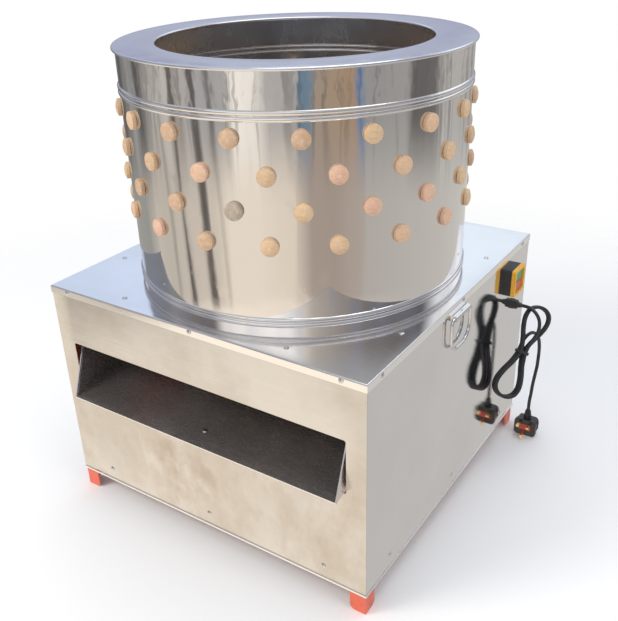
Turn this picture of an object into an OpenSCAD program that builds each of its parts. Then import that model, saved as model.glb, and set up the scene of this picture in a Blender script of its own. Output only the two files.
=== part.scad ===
// Drum poultry plucker: a square sheet cabinet on angle-steel legs carries an open drum.
// Rubber fingers line the drum wall and stand on a turntable that a belt drives from below.
// Millimetres, +Z up, the front with the feather chute faces -Y, the floor is z = 0.

/* [Cabinet] */
// Sheet deck left round the drum on each side
deck_margin = 30; // [30:1:60]
// Height from the lower edge of the panels to the top of the deck
cab_h = 413; // [400:1:480]
// Height of the leg ends that show below the panels
foot_h = 40; // [30:1:80]
// Thickness of the cabinet sheets
sheet = 1.2; // [0.8:0.1:2]
// Depth of the deck's turned-down flange
deck_flange = 14; // [12:1:20]
// Flange width of the angle-steel legs and rails
leg_size = 30; // [25:1:35]
// Thickness of the angle steel
leg_t = 3; // [2:0.5:5]
// Flange width of the rails under the deck
top_rail = 36; // [36:1:45]
// Height of the lower rails' top over the panels' lower edge
low_rail_rise = 44; // [40:1:60]

/* [Drum] */
// Outer diameter of the drum wall
drum_d = 600; // [560:1:660]
// Height from the deck to the top of the rim
drum_h = 409; // [380:1:460]
// Thickness of the drum sheet
drum_t = 1.5; // [1:0.1:2]
// Diameter of the mouth inside the rim
mouth_d = 469; // [440:1:490]
// Overhang of the rim's rolled edge outside the wall
rim_over = 5.5; // [4:0.5:8]
// Thickness of the rim's rolled edges
rim_roll = 5; // [4:0.5:7]
// Width of one rolled bead in the wall
bead_w = 8; // [6:0.5:8]
// Height of a bead over the wall
bead_out = 2.6; // [2:0.1:3]
// Pitch of the two beads in a pair
bead_pitch = 9; // [8.5:0.5:12]
// Upper pair of beads below the rim
bead_below_rim = 67; // [60:1:75]
// Lower pair of beads above the deck
bead_above_deck = 17; // [14:1:24]
// Width of the drum's foot flange
drum_foot = 12; // [12:1:18]

/* [Fingers] */
// Fingers in each row
finger_count = 18; // [12:1:20]
// Lowest row above the deck
row_first = 146.5; // [140:0.5:160]
// Height between rows
row_pitch = 54.5; // [50:0.5:56]
// Turn of the lowest row about the drum axis
row_turn = -4.7; // [-10:0.1:10]
// Diameter of a finger's head
head_d = 29; // [26:0.5:32]
// Height of a finger's head
head_h = 10; // [7:0.5:12]
// Diameter of the finger holes
hole_d = 20; // [18:0.5:22]
// Diameter of the collar inside the wall
collar_d = 25; // [24:0.5:27]
// Diameter of the finger at its tip
tip_d = 13; // [10:0.5:15]
// Reach of a finger past the sheet
finger_reach = 78; // [60:1:85]
// Ribs on a finger
finger_ribs = 7; // [4:1:8]

/* [Turntable] */
// Gap from the turntable's edge to the drum wall
turn_gap = 22.5; // [18:0.5:28]
// Height of the turntable's underside over the deck
turn_rise = 17; // [14:1:24]
// Thickness of the turntable plate
turn_t = 4; // [3:0.5:6]
// Step between the rings of turntable fingers
ring_step = 60; // [50:1:62]
// Diameter of the main shaft
shaft_d = 30; // [25:1:32]

/* [Chute] */
// Lower edge of the chute opening over the panels' lower edge
chute_sill = 201; // [195:1:210]
// Height of the chute opening
chute_open_h = 101; // [96:1:110]
// Width of the chute over its cheeks
chute_w = 580; // [540:1:584]
// Gap between a cheek and the side of the opening
chute_side = 4; // [2:0.5:6]
// Slope of the chute floor
chute_slope = 10; // [9:0.5:11]
// Reach of the lip in front of the panel
lip_out = 23.5; // [18:0.5:30]
// Height of the cheeks at the front
cheek_h = 96; // [80:1:98]
// Height of the cheeks at the back
cheek_back_h = 45; // [30:1:55]
// Width of the hem along the chute's front edges
hem_w = 5; // [4:0.5:7]

/* [Drive] */
// Gap from the rear motor rail to the frame behind it
motor_gap = 18.7; // [12:0.1:26]
// Gap between the pitch circles of the two pulleys
pulley_space = 28.5; // [24:0.5:32]
// Pitch radius of the motor pulley
motor_pulley_r = 31.5; // [28:0.5:36]
// Diameter of the motor's body over its ribs
motor_d = 152; // [140:1:156]
// Diameter of the motor shaft
motor_shaft_d = 24; // [19:1:28]
// Width of the beams that carry bearings and motor
beam_w = 40; // [36:1:44]
// Height of the beams
beam_h = 25; // [20:1:28]
// Side of the square bearing flange
bearing_w = 108; // [104:1:112]
// Height of a bearing housing
bearing_h = 31; // [28:1:33]
// Bolt pitch of the bearing flange
bearing_pitch = 83; // [80:1:84]

/* [Switch and handles] */
// Switch centre in front of the cabinet's rear edge
switch_in = 94; // [85:1:105]
// Switch centre below the deck
switch_drop = 62; // [55:1:66]
// Width of the switch
switch_w = 52; // [48:1:60]
// Height of the switch
switch_h = 55; // [52:1:60]
// Depth of the switch base outside the panel
switch_base_t = 12; // [10:1:14]
// Depth of the switch cover frame
switch_cover_t = 8; // [6:1:10]
// Travel of a button
button_travel = 3; // [2:0.5:4]
// Handle centre in front of the drum axis
handle_y = 17; // [0:1:40]
// Handle axis below the deck
handle_drop = 23; // [23:1:40]
// Width of the handle bail between its legs' axes
bail_w = 76; // [74:1:100]
// Drop of the handle bail from its axis
bail_drop = 62; // [50:1:90]
// Diameter of the bail rod
bail_rod_d = 6; // [5:0.5:7]
// Length of the handle bracket
bracket_len = 58; // [50:1:60]

/* [Cord] */
// Diameter of the mains cord
cord_d = 7; // [6.5:0.1:7.2]
// Loops in the hank
hank_loops = 3; // [2:1:3]
// Length of the hank's loops
hank_len = 194; // [180:1:200]
// Cable gland in front of the cabinet's rear edge
gland_in = 69; // [63:1:75]
// Height of the cable gland over the floor
gland_z = 326; // [320:1:332]

/* [Hidden] */
$fn = 48;
eps = 0.01;
// How far a cutter runs past the face it opens
over = 1;
// Clearances: sheets that lie on each other, welded and bolted faces, running shafts
fit = 0.1;
clear = 0.3;
running = 0.05;
hole_clear = 0.2;

// Levels and half widths
half = drum_d / 2 + deck_margin;
deck_z = foot_h + cab_h;
deck_under = deck_z - sheet;
deck_half = half + fit + sheet;
frame_half = half - sheet - fit;
rail_half = frame_half - leg_size;
leg_round = 10;
low_rail_z = foot_h + low_rail_rise;
rim_z = deck_z + drum_h;
drum_r = drum_d / 2;
drum_in = drum_r - drum_t;
deck_hole_r = drum_in - drum_foot;

// Screws and bolts
screw_r = 2;
screw_head_r = 4.4;
screw_head_h = 2;
screw_len = 9;
flange_screw_drop = 6;
flange_screw_end = 11;
flange_screw_z = deck_z - flange_screw_drop;
flange_screw_x = rail_half - flange_screw_end;
deck_screw_x = 172;
deck_screw_in = 28;
panel_screw_x = 248;
panel_screw_rise = 29;
panel_screw_z = foot_h + panel_screw_rise;
drum_bolt_r = 2.5;
drum_bolt_ring = drum_in - drum_foot / 2;
// Hexagons of bolts and nuts, as parts of the thread's radius
hex_wide = 1.85;
head_high = 1.3;
nut_high = 1.6;
bolt_end = 1.5;
rear_out = fit + sheet + screw_head_h;

// The drum axis stands behind the middle of the whole, because the lip reaches out in front
axis_y = (lip_out - rear_out) / 2;

// Chute: a sloped floor whose underside passes just over the sill of the opening
sill_z = foot_h + chute_sill;
slide_y0 = -lip_out / cos(chute_slope);
slide_short = 8;
slide_back = half + frame_half - leg_t - slide_short;
slide_y1 = slide_back / cos(chute_slope);
cheek_lean = 32;
tab_w = 50;
tab_len = 24;
chute_screw_y = 12;
corner_r = 4;
side_panel_w = 2 * (half - sheet - fit);

// Folds of the sheets: the deck's edge, and the panels' lower edge turned in between the legs
deck_bend = 2.5;
deck_bend_in = deck_bend - sheet;
edge_bend = 8;
edge_in = 16;
panel_top = deck_under - fit - deck_bend_in;
function slide_under(y) = sill_z + clear + (y + half) * tan(chute_slope);

// Drum wall: beads in pairs, and the levels and turns of the finger rows
bead_r = (pow(bead_out, 2) + pow(bead_w / 2, 2)) / (2 * bead_out);
bead_pairs = [deck_z + bead_above_deck, rim_z - bead_below_rim];
bead_levels = [for (z = bead_pairs, s = [-0.5, 0.5]) z + s * bead_pitch];
wall_top = rim_z - drum_t;
rim_in = mouth_d / 2;
rim_out = drum_r + rim_over;
finger_rows = 4;
function row_z(row) = deck_z + row_first + (finger_rows - row) * row_pitch;
function row_angle(row) = row_turn + ((finger_rows - row) % 2) * 180 / finger_count;

// Fingers: the collar's seat on the curved wall, and the ribs
wall_seat = drum_r - sqrt(pow(drum_in, 2) - pow(collar_d / 2, 2)) + fit;
collar_h = 8;
collar_step = 1;
head_corner = 0.6 * head_h;
neck_r = hole_d / 2 - hole_clear;
root_r = collar_d / 2;
tip_r = tip_d / 2;
rib_depth = 1.8;
rib_start = 0.3;
rib_stop = 0.7;
function rib_r(i) = root_r - collar_step + (tip_r - root_r + collar_step) * i / finger_ribs;

// Bearings, beams and motor, stacked up from the lower rails and down from the chute
bearing_gap = 4;
mid_rail_z = slide_under(-bearing_w / 2) - bearing_gap - bearing_h - beam_h;
upper_bearing_z = mid_rail_z + beam_h;
lower_bearing_z = low_rail_z + beam_h;
beam_t = 3;
beam_half = frame_half - leg_t - over;
rear_rail_z = slide_under(frame_half - leg_size) - fit;
bearing_flange_t = 13;
bearing_corner = 16;
bearing_boss_r = 42;
bearing_boss_step = 4;
bearing_boss_h = bearing_h - bearing_boss_step;
insert_r = 31;
insert_wall = 5;
insert_lip = 5.5;
bearing_bolt_r = 6;
motor_rail_off = 85;
drive_centres = frame_half - motor_gap - beam_w / 2 - motor_rail_off;
plate_w = 200;
plate_d = 2 * motor_rail_off + beam_w;
plate_t = 6;
plate_corner = 8;
plate_bolt_x = 80;
plate_bolt_r = 4;
motor_z = lower_bearing_z + plate_t;
motor_flange_t = 12;
motor_flange_lip = 4;
motor_flange_r = motor_d / 2 + motor_flange_lip;
motor_top = slide_under(drive_centres - motor_d / 2) - bearing_gap;
fan_cover_h = 48;
fan_round = 12;
fan_vents = 4;
vent_pitch = 12;
vent_w = 4;
vent_deep = 6;
motor_fins = 28;
fin_t = 3;
fin_deep = 8;
fin_root = 2;
motor_core_r = motor_d / 2 - fin_deep;
motor_bolt_ring = 65;
motor_bolt_len = plate_t + 9;
motor_floor = 2;
spigot_r = 45;
motor_body_z = motor_z + motor_flange_t;
motor_body_h = motor_top - fan_cover_h - motor_body_z;
motor_shaft_in = 40;
motor_bore_gap = 1;
shaft_end = motor_body_z + motor_shaft_in;
box_w = 70;
box_d = 34;
box_h = 60;
box_corner = 6;

// Belt and pulleys
driven_r = drive_centres - motor_pulley_r - pulley_space;
belt_top_w = 13;
belt_low_w = 7.6;
belt_over = 3;
belt_under = 5;
belt_corners = [[belt_over, belt_top_w / 2], [belt_over, -belt_top_w / 2], [-belt_under, -belt_low_w / 2],
    [-belt_under, belt_low_w / 2]];
driven_steps = 64;
motor_steps = 28;
groove_over = 1;
groove_slope = (belt_top_w - belt_low_w) / 2 / (belt_over + belt_under);
groove_low = belt_low_w / 2 + clear;
pulley_w = 22;
pulley_gap = 12;
pulley_boss = 16;
pulley_web = 8;
pulley_rim = 18;
pulley_holes = 6;
pulley_hole_r = 26;
pulley_hole_ring = 82;
pulley_z = low_rail_z - pulley_gap - pulley_w / 2;
belt_angle = acos((driven_r - motor_pulley_r) / drive_centres);

// Turntable
turn_z = deck_z + turn_rise;
turn_r = drum_in - turn_gap;
shaft_past = 5;
shaft_low = pulley_z - pulley_w / 2 - shaft_past;
shaft_nut_h = 12;
shaft_nut_r = 0.9 * shaft_d;
shaft_top = turn_z + turn_t + shaft_nut_h + shaft_past;
sleeve_r = 40;
sleeve_drop = 46;
sleeve_top = turn_z - sleeve_drop;
skirt_r = 47;
skirt_t = 3;
skirt_h = 66;
hub_r = 28;
hub_h = 58;
hub_flange_r = 72;
hub_flange_t = 6;
hub_bolt_ring = 60;
ring_first = 110;
ring_fingers = [8, 12, 16];

// Handles and switch on the side panels
handle_z = deck_z - handle_drop;
bracket_wall = 2;
bracket_base = 2;
bracket_r = bail_rod_d / 2 + bracket_wall;
handle_x = half + bracket_r + bracket_base;
bail_corner = (bail_w - bracket_len) / 2 - clear;
bail_low_corner = 26;
switch_y = half - switch_in;
switch_z = deck_z - switch_drop;
switch_r = 5;
switch_rear = 28;
switch_lip = 6;
switch_rear_w = switch_w - 2 * switch_lip;
switch_rear_h = switch_h - 2 * switch_lip;
cover_wall = 5;
window_w = switch_w - 2 * cover_wall;
window_h = switch_h - 2 * cover_wall;
button_edge = 2;
button_corner = 3;
button_w = window_w - 2 * button_edge;
button_h = (window_h - 3 * button_edge) / 2;
button_y = (button_h + button_edge) / 2;
button_sunk = 3;
button_deep = 4;
button_top = switch_base_t + switch_cover_t - button_sunk;
button_low = switch_base_t - button_travel - button_deep;

// Gland, cord and plug
gland_y = half - gland_in;
gland_r = 7.5;
gland_hex = 10.5;
gland_hex_t = 5;
gland_nut_hex = 9.5;
gland_nut_t = 7;
gland_nut_len = 15;
gland_lip = 1;
gland_out = gland_hex_t + gland_nut_len;
gland_inside = 14;
lock_nut_t = 5;
tie_h = 6;
tie_t = 1.6;
tie_ease = 0.9;
tie_corner = 2.4;
plug_w = 48;
plug_t = 26;
plug_h = 40;
plug_corner = 9;
plug_base_t = 7;
plug_step = 2.5;
plug_grips = 4;
plug_grip_w = 2;
plug_grip_pitch = 5;
plug_neck_r = 8;
plug_neck_h = 22;
plug_neck_wall = 1;
neck_ribs = 4;
neck_rib_out = 0.8;
plug_top = plug_h - plug_step + plug_neck_h;
plug_off = 46;
plug_back = 42;
plug_y = gland_y + plug_back;
pin_t = 4;
pin_w = 6.4;
earth_pin_w = 8;
pin_len = 18;
earth_pin_len = 22;
pin_edge = 9;
pin_apart = 22;
fuse_w = 26;
fuse_h = 14;
fuse_t = 0.8;
fuse_corner = 1.5;
fuse_z = plug_h / 2 + 1;

// Hank: every loop is drawn in at the waist, and each turn climbs one layer along a run
hank_off = 41;
hank_fore = 32;
hank_low = 86;
hank_centre = [half + hank_off, gland_y - hank_fore, gland_z - hank_low];
hank_up = unit([0.14, 0.57, 0.81]);
hank_right = unit(cross(hank_up, [0.6, -0.7, 0.4]));
hank_face = cross(hank_right, hank_up);
waist_gap = 0.7;
layer_gap = 0.9;
hank_waist = cord_d / 2 + waist_gap;
hank_bulge = 62;
hank_soft = 0.27;
hank_pitch = cord_d + layer_gap;
hank_rings = 24;
hank_turns = hank_loops - 0.5;
hank_start = 90;
function unit(v) = v / norm(v);
function ramp(t) = t > 1 ? 1 : t * t * (3 - 2 * t);
function hank_layer(a) = floor(a / 360) + ramp(2 * (a / 360 - floor(a / 360))) - (hank_loops + 0.5) / 2;
function hank_point(a) = hank_centre + hank_up * cos(a) * hank_len / 2
    - hank_face * hank_pitch * hank_layer(a)
    + hank_right * sin(a) * (hank_waist + hank_bulge * (norm([cos(a), hank_soft]) - hank_soft));
hank_step = 360 / hank_rings;
hank_loop = [for (i = [0 : hank_turns * hank_rings]) hank_point(hank_start + i * hank_step)];
hank_in = hank_loop[0] + hank_up * cord_d;
hank_out = hank_loop[len(hank_loop) - 1] + hank_up * cord_d;
hank_path = concat([hank_in], hank_loop, [hank_out]);

// Free stretches of the cord: the lead from the gland's hole, the tail from the floor below the gland
gland_at = [0, gland_y, gland_z];
gland_foot = [0, gland_y, 0];
lead_points = [[gland_out, 0, 0], [27, 0, 0], [40, -3, 0], [52, -7, -5], [61, -11, -14], [65, -14, -26],
    [65, -17, -39], [61, -19, -51], [56, -23, -62]];
tail_points = [[37, -6, 260], [41, 11, 263], [44, 27, 257], [47, 40, 246], [49, 49, 232], [50, 54, 216],
    [50, 57, 199], [50, 57, 182], [50, 56, 166], [49, 53, 149], [48, 50, 133], [47, 48, 116], [47, 45, 100],
    [46, 43, 83], [plug_off, plug_back, plug_top + cord_d], [plug_off, plug_back, plug_top]];
function off_panel(p) = [half + p[0], p[1], p[2]];
lead_path = concat([for (p = lead_points) off_panel(gland_at + p)], [hank_in + hank_up * cord_d, hank_in]);
tail_path = concat([hank_out, hank_out + hank_up * cord_d],
    [for (p = tail_points) off_panel(gland_foot + p)]);
function run(path, i = 0) = i + 1 >= len(path) ? 0 : norm(path[i + 1] - path[i]) + run(path, i + 1);
function to_segment(p, a, b) = let (t = (p - a) * (b - a) / ((b - a) * (b - a)))
    norm(p - a - (b - a) * max(0, min(1, t)));
function least(a, b) = min([for (p = a, j = [0 : len(b) - 2]) to_segment(p, b[j], b[j + 1])]) - cord_d;
hank_apart = hank_rings / 3;
tail_apart = 2;
hank_gap = min([for (i = [0 : len(hank_path) - 1], j = [i + hank_apart : len(hank_path) - 2])
    to_segment(hank_path[i], hank_path[j], hank_path[j + 1])]) - cord_d;
tail_gap = least([for (i = [0 : len(hank_loop) - hank_apart]) hank_loop[i]],
    [for (i = [tail_apart : len(tail_path) - 1]) tail_path[i]]);
echo(hank_least_gap = hank_gap, tail_least_gap = tail_gap,
    cord_length = run(lead_path) + run(hank_path) + run(tail_path));

// Helpers
module on_axis() translate([0, axis_y, 0]) children();
module on_sides() for (a = [0 : 90 : 270]) rotate(a) children();
module at_motor() translate([0, drive_centres, 0]) children();
module in_slide() translate([0, -half, sill_z + clear]) rotate([chute_slope, 0, 0]) children();
module on_right(y, z) translate([half, y, z]) rotate([90, 0, 90]) children();
module rounded(w, h, r) {
    square([w - 2 * r, h], center = true);
    square([w, h - 2 * r], center = true);
    for (x = [-1, 1], y = [-1, 1]) translate([x * (w / 2 - r), y * (h / 2 - r)]) circle(r);
}
module ring(r_out, r_in, h) difference() {
    cylinder(r = r_out, h = h);
    translate([0, 0, -eps]) cylinder(r = r_in, h = h + 2 * eps);
}
module hex(r, h) cylinder(r = r, h = h, $fn = 6);
module bolt(r, len) {
    hex(hex_wide * r, head_high * r);
    translate([0, 0, -len]) cylinder(r = r, h = len);
}
module bolt_and_nut(r, grip) {
    bolt(r, grip + nut_high * r + bolt_end);
    translate([0, 0, -grip - nut_high * r]) hex(hex_wide * r, nut_high * r);
}
module bolt_hole(r, deep) translate([0, 0, -deep]) cylinder(r = r + hole_clear, h = 2 * deep);

// Skin over rings of points that turn right-handed about their path, a closed loop or one with flat ends
module skin(rings, loop) {
    n = len(rings);
    k = len(rings[0]);
    last = (n - 1) * k;
    walls = [for (i = [0 : loop ? n - 1 : n - 2], j = [0 : k - 1])
        let (a = i * k + j, b = i * k + (j + 1) % k, up = (i + 1) % n * k, c = up + j, d = up + (j + 1) % k)
        each [[a, c, b], [b, c, d]]];
    ends = [for (j = [1 : k - 2]) each [[0, j, j + 1], [last, last + j + 1, last + j]]];
    polyhedron([for (r = rings) each r], loop ? walls : concat(walls, ends));
}

// Screws of the cabinet, each with its holes in the sheets and rails
module pan_screw() {
    rotate_extrude() intersection() {
        square([screw_head_r, screw_head_h]);
        translate([0, screw_head_h - 2 * screw_head_r]) circle(2 * screw_head_r);
    }
    translate([0, 0, -screw_len]) cylinder(r = screw_r, h = screw_len);
}
module at_flange_screws() for (x = [-1, 0, 1]) translate([x * flange_screw_x, -deck_half, flange_screw_z])
    rotate([90, 0, 0]) children();
module at_panel_screws() for (x = [-1, 0, 1]) translate([x * panel_screw_x, -half, panel_screw_z])
    rotate([90, 0, 0]) children();
module at_deck_screws() for (x = [-1, 1]) translate([x * deck_screw_x, -half + deck_screw_in, deck_z])
    children();
module screw_hole() bolt_hole(screw_r, screw_len + over);
module flange_screws() color("gainsboro") on_axis() on_sides() at_flange_screws() pan_screw();
module deck_screws() color("gainsboro") on_axis() on_sides() at_deck_screws() pan_screw();
module panel_screws() color("gainsboro") on_axis() on_sides() at_panel_screws() pan_screw();

// Welded frame of angle steel
module leg_flange() translate([0, leg_t, 0]) rotate([90, 0, 0]) linear_extrude(leg_t) {
    translate([0, leg_round]) square([leg_size, deck_under - leg_round]);
    square([leg_size - leg_round, 2 * leg_round]);
    translate([leg_size - leg_round, leg_round]) circle(leg_round);
}
module frame_legs() color("orangered") on_axis() on_sides() translate([-frame_half, -frame_half, 0]) {
    leg_flange();
    mirror([1, -1, 0]) leg_flange();
}
module rail(z) {
    translate([-rail_half, -frame_half, z - leg_size]) cube([2 * rail_half, leg_t, leg_size]);
    translate([-rail_half, -frame_half, z - leg_t]) cube([2 * rail_half, leg_size, leg_t]);
}
module mitred_rail(z) {
    mitre = rail_half - (top_rail - leg_size) - fit;
    translate([-rail_half, -frame_half, z - leg_size]) cube([2 * rail_half, leg_t, leg_size]);
    translate([0, -frame_half, z - leg_t]) linear_extrude(leg_t)
        polygon([[-rail_half, 0], [rail_half, 0], [rail_half, leg_size - fit], [mitre, top_rail],
            [-mitre, top_rail], [-rail_half, leg_size - fit]]);
}
module top_rails() color("orangered") on_axis() on_sides() difference() {
    mitred_rail(deck_under);
    at_flange_screws() screw_hole();
    at_deck_screws() screw_hole();
}
module frame_rails() color("orangered") on_axis() {
    on_sides() difference() {
        rail(low_rail_z);
        at_panel_screws() screw_hole();
    }
    for (a = [-90, 90]) rotate(a) rail(mid_rail_z);
    rotate(180) rail(rear_rail_z);
}
module beam_section() difference() {
    translate([-beam_w / 2, 0]) square([beam_w, beam_h]);
    translate([-beam_w / 2 + beam_t, -over]) square([beam_w - 2 * beam_t, beam_h - beam_t + over]);
}
module beam(z, y) translate([-beam_half, y, z]) rotate([90, 0, 90]) linear_extrude(2 * beam_half)
    beam_section();
module bearing_beams() color("orangered") on_axis() difference() {
    for (z = [low_rail_z, mid_rail_z], y = [-1, 1]) beam(z, y * bearing_pitch / 2);
    for (z = [lower_bearing_z, upper_bearing_z]) at_bearing_bolts(z) bolt_hole(bearing_bolt_r, beam_h);
}
module motor_rails() color("orangered") on_axis() difference() {
    for (y = [-1, 1]) beam(low_rail_z, drive_centres + y * motor_rail_off);
    at_plate_bolts() bolt_hole(plate_bolt_r, beam_h);
}

// Panels
module edge_section() {
    translate([edge_bend, edge_bend]) intersection() {
        difference() {
            circle(edge_bend);
            circle(edge_bend - sheet);
        }
        translate([-edge_bend, -edge_bend]) square(edge_bend + eps);
    }
    translate([edge_bend, 0]) square([edge_in - edge_bend, sheet]);
}
module panel(w) {
    difference() {
        translate([-w / 2, -half, foot_h]) cube([w, sheet, panel_top - foot_h]);
        translate([-rail_half, -half - over, foot_h - over])
            cube([2 * rail_half, sheet + 2 * over, edge_bend + over]);
        at_flange_screws() screw_hole();
        at_panel_screws() screw_hole();
    }
    translate([0, -half, foot_h]) rotate([90, 0, 90])
        linear_extrude(2 * rail_half, center = true) edge_section();
}
module front_panel() color("silver") on_axis() difference() {
    union() {
        difference() {
            panel(2 * half);
            translate([0, -half - over, sill_z + chute_open_h / 2]) rotate([-90, 0, 0])
                linear_extrude(sheet + 2 * over) rounded(chute_w + 2 * chute_side, chute_open_h, corner_r);
        }
        in_slide() translate([-tab_w / 2, sheet / 2, -clear - sheet]) cube([tab_w, tab_len, sheet]);
    }
    at_chute_screw() screw_hole();
}
module back_panel() color("silver") on_axis() rotate(180) panel(2 * half);
module left_panel() color("silver") on_axis() rotate(-90) panel(side_panel_w);
module right_panel() color("silver") on_axis() difference() {
    rotate(90) panel(side_panel_w);
    on_right(gland_y, gland_z) bolt_hole(gland_r, 2 * sheet);
    on_right(switch_y, switch_z) linear_extrude(4 * sheet, center = true)
        square([switch_rear_w + 2 * clear, switch_rear_h + 2 * clear], center = true);
}
module pan_section(side, low, high, bend) {
    translate([-side, low]) square([2 * side, high - low - bend]);
    translate([bend - side, low]) square([2 * (side - bend), high - low]);
    for (x = [-1, 1]) translate([x * (side - bend), high - bend]) circle(bend);
}
module pan(side, low, high, bend) intersection_for (a = [0, 90]) rotate([90, 0, a])
    linear_extrude(2 * side, center = true) pan_section(side, low, high, bend);
module top_panel() color("silver") on_axis() difference() {
    pan(deck_half, deck_z - deck_flange, deck_z, deck_bend);
    pan(half + fit, deck_z - deck_flange - over, deck_under, deck_bend_in);
    translate([0, 0, deck_under - over]) cylinder(r = deck_hole_r, h = sheet + 2 * over);
    on_sides() at_flange_screws() screw_hole();
    on_sides() at_deck_screws() screw_hole();
    at_drum_bolts() bolt_hole(drum_bolt_r, 2 * sheet);
}

// Feather chute: floor, cheeks and back wall of folded sheet, hemmed along the front edges
module at_chute_screw() in_slide() translate([0, chute_screw_y, sheet]) children();
module cheek(t) rotate([90, 0, 90]) linear_extrude(t)
    polygon([[slide_y0, 0], [slide_y1, 0], [slide_y1, cheek_back_h], [cheek_lean, cheek_h]]);
module cheek_hem(t) rotate([90, 0, 90]) linear_extrude(t)
    polygon([[slide_y0, 0], [slide_y0 + hem_w, 0], [cheek_lean + hem_w, cheek_h], [cheek_lean, cheek_h]]);
module feather_chute() color("silver") on_axis() difference() {
    in_slide() {
        translate([-chute_w / 2, slide_y0, 0]) cube([chute_w, slide_y1 - slide_y0, sheet]);
        translate([-chute_w / 2, slide_y0, -sheet]) cube([chute_w, hem_w, sheet]);
        translate([-chute_w / 2, slide_y1 - sheet, 0]) cube([chute_w, sheet, cheek_back_h]);
        for (x = [-chute_w / 2, chute_w / 2 - sheet]) translate([x, 0, 0]) cheek(sheet);
        for (x = [-chute_w / 2, chute_w / 2 - 2 * sheet]) translate([x, 0, 0]) cheek_hem(2 * sheet);
    }
    translate([0, 0, sill_z]) cylinder(r = sleeve_r - sheet, h = cab_h);
    at_chute_screw() screw_hole();
}
module chute_screw() color("gainsboro") on_axis() at_chute_screw() pan_screw();
module splash_sleeve() color("silver") on_axis() difference() {
    translate([0, 0, sill_z]) ring(sleeve_r, sleeve_r - sheet, sleeve_top - sill_z);
    in_slide() translate([-half, 0, sheet + fit - cab_h]) cube([2 * half, 2 * half, cab_h]);
}

// Drum: beaded wall on a foot flange, closed by a rim with rolled edges
module wall_profile() difference() {
    union() {
        translate([drum_in, deck_z]) square([drum_t, wall_top - deck_z]);
        translate([deck_hole_r, deck_z]) square([drum_foot + drum_t, drum_t]);
        for (z = bead_levels) intersection() {
            translate([drum_r + bead_out - bead_r, z]) circle(bead_r);
            translate([drum_in, z - bead_r]) square([2 * bead_r, 2 * bead_r]);
        }
    }
    for (z = bead_levels) translate([drum_r + bead_out - bead_r, z]) circle(bead_r - drum_t);
}
module at_wall_fingers(row) for (i = [0 : finger_count - 1]) rotate(row_angle(row) + i * 360 / finger_count)
    translate([drum_r, 0, row_z(row)]) rotate([0, -90, 0]) children();
module drum_shell() color("silver") on_axis() difference() {
    rotate_extrude() wall_profile();
    for (row = [1 : finger_rows]) at_wall_fingers(row)
        translate([0, 0, -2 * drum_t]) cylinder(d = hole_d, h = 5 * drum_t);
    at_drum_bolts() bolt_hole(drum_bolt_r, 2 * drum_t);
}
module drum_rim() color("silver") on_axis() rotate_extrude() {
    roll = rim_roll / 2;
    translate([rim_in + roll, rim_z - drum_t]) square([rim_out - rim_in - rim_roll, drum_t]);
    for (x = [rim_in + roll, rim_out - roll]) translate([x, rim_z - roll]) circle(roll);
}
module at_drum_bolts() for (q = [0 : 90 : 270], a = [30, 60]) rotate(q + a)
    translate([drum_bolt_ring, 0, deck_z]) children();
module drum_bolts() color("gainsboro") on_axis() at_drum_bolts() translate([0, 0, drum_t])
    bolt_and_nut(drum_bolt_r, drum_t + sheet);

// Rubber finger along +Z: domed head, neck in the sheet, collar, ribbed taper and round tip
module head_section() intersection() {
    translate([0, -head_h]) square([head_d / 2, head_h - fit]);
    translate([0, head_d - head_h]) circle(head_d);
    union() {
        translate([0, -head_h]) square([head_d / 2 - head_corner, head_h]);
        translate([0, head_corner - head_h]) square([head_d / 2, head_h]);
        translate([head_d / 2 - head_corner, head_corner - head_h]) circle(head_corner);
    }
}
module rib_section(i, step) polygon([[0, -eps], [rib_r(i) - rib_depth, -eps], [rib_r(i), rib_start * step],
    [rib_r(i), rib_stop * step], [rib_r(i + 1) - rib_depth, step], [0, step]]);
module finger(sheet_t, seat) {
    first = seat + collar_h;
    step = (finger_reach - tip_r - first + sheet_t) / finger_ribs;
    rotate_extrude() {
        head_section();
        translate([0, -fit - eps]) square([neck_r, seat + fit + 2 * eps]);
        translate([0, seat]) square([root_r, collar_h]);
        for (i = [0 : finger_ribs - 1]) translate([0, first + i * step]) rib_section(i, step);
        translate([0, first + finger_ribs * step - eps]) intersection() {
            circle(tip_r - rib_depth);
            square(tip_r);
        }
    }
}
module wall_row(row) on_axis() at_wall_fingers(row) finger(drum_t, wall_seat);
module wall_fingers_row_1() color("tan") wall_row(1);
module wall_fingers_row_2() color("tan") wall_row(2);
module wall_fingers_row_3() color("tan") wall_row(3);
module wall_fingers_row_4() color("tan") wall_row(4);

// Flange bearings on the beams
module at_bearing_bolts(z) for (x = [-1, 1], y = [-1, 1])
    translate([x * bearing_pitch / 2, y * bearing_pitch / 2, z]) children();
module bearing(z) difference() {
    translate([0, 0, z]) {
        linear_extrude(bearing_flange_t) rounded(bearing_w, bearing_w, bearing_corner);
        cylinder(r = bearing_boss_r, h = bearing_boss_h);
    }
    translate([0, 0, z - over]) cylinder(r = insert_r + fit, h = bearing_h + over);
    at_bearing_bolts(z) bolt_hole(bearing_bolt_r, bearing_h);
}
module upper_bearing() color("dimgray") on_axis() bearing(upper_bearing_z);
module lower_bearing() color("dimgray") on_axis() bearing(lower_bearing_z);
module bearing_inserts() color("lightgray") on_axis() for (z = [lower_bearing_z, upper_bearing_z])
    translate([0, 0, z]) rotate_extrude() translate([shaft_d / 2 + running, 0]) {
        square([insert_wall, bearing_h]);
        translate([0, insert_lip]) square([insert_r - shaft_d / 2 - running, bearing_h - 2 * insert_lip]);
    }
module bearing_bolts() color("gainsboro") on_axis() for (z = [lower_bearing_z, upper_bearing_z])
    at_bearing_bolts(z) translate([0, 0, bearing_flange_t])
        bolt_and_nut(bearing_bolt_r, bearing_flange_t + beam_t);

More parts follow.
